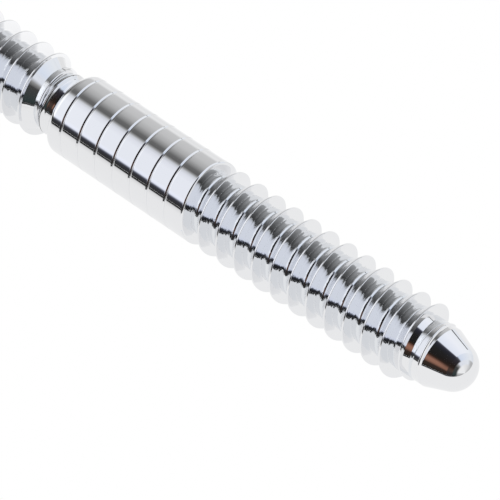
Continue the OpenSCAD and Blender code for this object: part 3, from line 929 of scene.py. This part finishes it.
# stops go from the back horizon (0 degrees) over the top to the front horizon (180 degrees)
whiteWall = [(92, (0.64, 0.66, 0.7)), (99, (0.82, 0.84, 0.91)), (112, (0.9, 0.925, 0.99)),
             (153, (0.9, 0.925, 0.99))]
blackWall = [(0, (0.85, 0.88, 0.93)), (20, (0.93, 0.96, 1.0)), (45, (0.96, 0.98, 1.04)),
             (72, (0.87, 0.91, 1.0)), (82, (0.84, 0.88, 0.98)), (86, (0.06, 0.06, 0.08)),
             (92, (0.025, 0.026, 0.036)), (108, grey(0.016)), (130, grey(0.013))]
blackFoot = [(178, (0.025, 0.02, 0.016)), (180, grey(0.03))]
studio = {
    "rear": [(0, grey(0.9)), (7, grey(0.7)), (11, grey(0.22)), (36, grey(0.17)), (60, grey(0.1)),
             (80, grey(0.05)), (87, grey(0.3)), (92, grey(0.9)), (112, (0.93, 0.95, 1.0)),
             (163, (0.93, 0.95, 1.05)), (168, grey(0.2)), (172, grey(0.05)), (180, grey(0.03))],
    "glint": [(0, grey(0.9)), (12, grey(0.6)), (36, grey(0.45)), (60, grey(0.3)), (80, grey(0.2)),
              (87, grey(0.5)), (92, grey(1.0)), (112, (1.2, 1.22, 1.25)), (163, (1.2, 1.22, 1.25)),
              (168, grey(0.2)), (172, grey(0.04)), (180, grey(0.03))],
    "side": [(0, grey(0.92)), (7, grey(0.78)), (12, grey(0.64)), (36, grey(0.59)), (54, grey(0.46)),
             (65, grey(0.3)), (74, grey(0.15)), (83, grey(0.13)), (87, grey(0.3)), *whiteWall,
             (159, (0.93, 0.96, 1.06)), (163, (0.85, 0.88, 1.0)), (167, (0.14, 0.15, 0.19)),
             (170, (0.04, 0.04, 0.05)), (180, grey(0.03))],
    "facing": [(0, grey(0.95)), (9, grey(0.9)), (13, grey(0.42)), (36, grey(0.26)), (60, grey(0.13)),
               (83, grey(0.05)), (87, grey(0.3)), *whiteWall, (163, (0.85, 0.88, 1.0)),
               (167, (0.1, 0.11, 0.14)), (170, (0.025, 0.025, 0.03)), (180, grey(0.02))],
    "middle": [(0, grey(0.9)), (60, (0.8, 0.84, 0.92)), (82, (0.78, 0.82, 0.9)), (86, (0.8, 0.84, 0.9)),
               (99, (1.05, 1.07, 1.12)), (112, (1.15, 1.17, 1.22)), (163, (1.1, 1.12, 1.2)),
               (168, (0.17, 0.18, 0.22)), (172, (0.065, 0.065, 0.075)), (180, grey(0.03))],
    "front": [*blackWall, *blackFoot],
    "warm": [*blackWall, (137, (0.035, 0.018, 0.012)), (142, (0.18, 0.085, 0.06)),
             (147, (0.32, 0.155, 0.105)), (155, (0.3, 0.145, 0.1)), (160, (0.17, 0.085, 0.06)),
             (164, (0.04, 0.025, 0.02)), *blackFoot],
    "brow": [(0, (0.8, 0.83, 0.88)), (20, (0.88, 0.91, 0.95)), (60, (0.78, 0.84, 0.95)),
             (78, (0.7, 0.78, 0.92)), (84, (0.1, 0.1, 0.12)), (92, (0.035, 0.033, 0.042)),
             (125, (0.02, 0.014, 0.012)), (137, (0.03, 0.018, 0.014)), (147, (0.07, 0.042, 0.034)),
             (156, (0.065, 0.045, 0.035)), (164, (0.04, 0.03, 0.03)), (178, grey(0.03)),
             (180, grey(0.03))],
    "high": [(0, grey(0.5)), (15, grey(0.5)), (35, (0.85, 0.88, 0.93)), (95, (0.8, 0.83, 0.9)),
             (108, grey(0.3)), (122, grey(0.06)), (175, (0.03, 0.045, 0.045)), (180, grey(0.03))],
    "top": [(0, grey(0.5)), (40, grey(0.8)), (90, grey(0.95)), (150, grey(0.95)), (165, grey(0.5)),
            (180, grey(0.5))],
}
# panels that take over from the rear one as a ray leans forwards, each with the degrees where it starts
# and where it is full
lookedAt = {
    "once": [("glint", -54, -48), ("side", -35, -30), ("middle", -22, -16), ("front", -12, -5),
             ("warm", 5, 7.5), ("brow", 13, 15.5), ("high", 36, 42), ("top", 52, 62)],
    "again": [("side", -35, -29.5), ("facing", -20, -14)],
}
seam = {"swing": (12.8, 16.2, 1.2), "lean": (-12, 0, 1.5), "grey": 0.08}


def ramp(tree, value, low, high, stops):
    share = (value - low) / (high - low)
    node = addNode(tree, "ShaderNodeValToRGB", Fac=share)
    points = node.color_ramp.elements
    points.remove(points[1])
    for i, (place, colour) in enumerate(stops):
        spot = (place - low) / (high - low)
        point = points.new(spot) if i else points[0]
        point.position = spot
        point.color = (*colour, 1)
    return Wire(tree, node.outputs["Color"])


def mixColours(tree, share, first, second):
    node = tree.nodes.new("ShaderNodeMix")
    node.data_type = "RGBA"
    sockets = [socket for socket in node.inputs if socket.enabled]
    for socket, value in zip(sockets, (share, first, second)):
        plug(tree, value, socket)
    return Wire(tree, next(socket for socket in node.outputs if socket.enabled))


def seenBy(tree, name):
    return Wire(tree, tree.nodes.new("ShaderNodeLightPath").outputs[name])


def setFloor():
    mesh = bpy.data.meshes.new("floor")
    size = floorLook["size"]
    corners = ((-size, -size), (size, -size), (size, size), (-size, size))
    mesh.from_pydata([(x, y, cadBox[0].z) for x, y in corners], [], [(0, 1, 2, 3)])
    floor = bpy.data.objects.new("floor", mesh)
    bpy.context.scene.collection.objects.link(floor)
    material = bpy.data.materials.new("paleFloor")
    material.use_nodes = True
    tree = material.node_tree
    tree.nodes.remove(tree.nodes["Principled BSDF"])
    spot = Wire(tree, tree.nodes.new("ShaderNodeTexCoord").outputs["Object"])
    place = addNode(tree, "ShaderNodeSeparateXYZ", Vector=spot)
    x, y = Wire(tree, place.outputs["X"]), Wire(tree, place.outputs["Y"])
    stops = [(spotY, grey(value)) for spotY, value in floorLook["stops"]]
    paintedFloorLight = ramp(tree, y, -floorLook["reach"], floorLook["reach"], stops)
    dim = x.smooth(*floorLook["dimFrom"], 0, 1)
    paintedFloorLight = mixColours(tree, dim, paintedFloorLight, (*grey(floorLook["dim"]), 1))
    near = y.smooth(*floorLook["farFrom"], 0, 1)
    paintedFloorLight = mixColours(tree, near, (*grey(floorLook["far"]), 1), paintedFloorLight)
    # the camera sees plain white; mirror rays see the painted floor light
    shown = mixColours(tree, seenBy(tree, "Is Glossy Ray"), (1, 1, 1, 1), paintedFloorLight)
    glow = addNode(tree, "ShaderNodeEmission", Color=shown, Strength=1)
    tree.links.new(glow.outputs[0], tree.nodes["Material Output"].inputs["Surface"])
    mesh.materials.append(material)


# 1 inside a range and 0 outside it, with a blurred edge on both sides
def within(value, low, high, blur):
    return value.smooth(low - blur, low, 0, 1) * value.smooth(high, high + blur, 1, 0)


def setStudio():
    world = bpy.data.worlds.new("studio")
    bpy.context.scene.world = world
    world.use_nodes = True
    tree = world.node_tree
    way = Wire(tree, tree.nodes.new("ShaderNodeTexCoord").outputs["Generated"])
    part = addNode(tree, "ShaderNodeSeparateXYZ", Vector=way)
    x, y, z = (Wire(tree, part.outputs[axis]) for axis in "XYZ")
    swing = z.math("ARCTAN2", y).math("DEGREES")
    lean = x.math("ARCSINE").math("DEGREES")
    panels = {name: ramp(tree, swing, 0, 180, stops) for name, stops in studio.items()}
    rooms = {}
    for times, chain in lookedAt.items():
        rooms[times] = panels["rear"]
        for name, low, high in chain:
            rooms[times] = mixColours(tree, lean.smooth(low, high, 0, 1), rooms[times], panels[name])
    # a dark seam between two panels shows as a thin line on the noses
    line = within(swing, *seam["swing"]) * within(lean, *seam["lean"])
    rooms["once"] = mixColours(tree, line, rooms["once"], (*grey(seam["grey"]), 1))
    # a ray that has bounced between the fins meets the second set of panels
    room = mixColours(tree, seenBy(tree, "Glossy Depth") - 1, rooms["once"], rooms["again"])
    shown = mixColours(tree, seenBy(tree, "Is Glossy Ray"), (1, 1, 1, 1), room)
    plug(tree, shown, tree.nodes["Background"].inputs["Color"])


setFloor()
setStudio()
bpy.context.scene.view_settings.view_transform = "Standard"
print("camera, floor and light set")
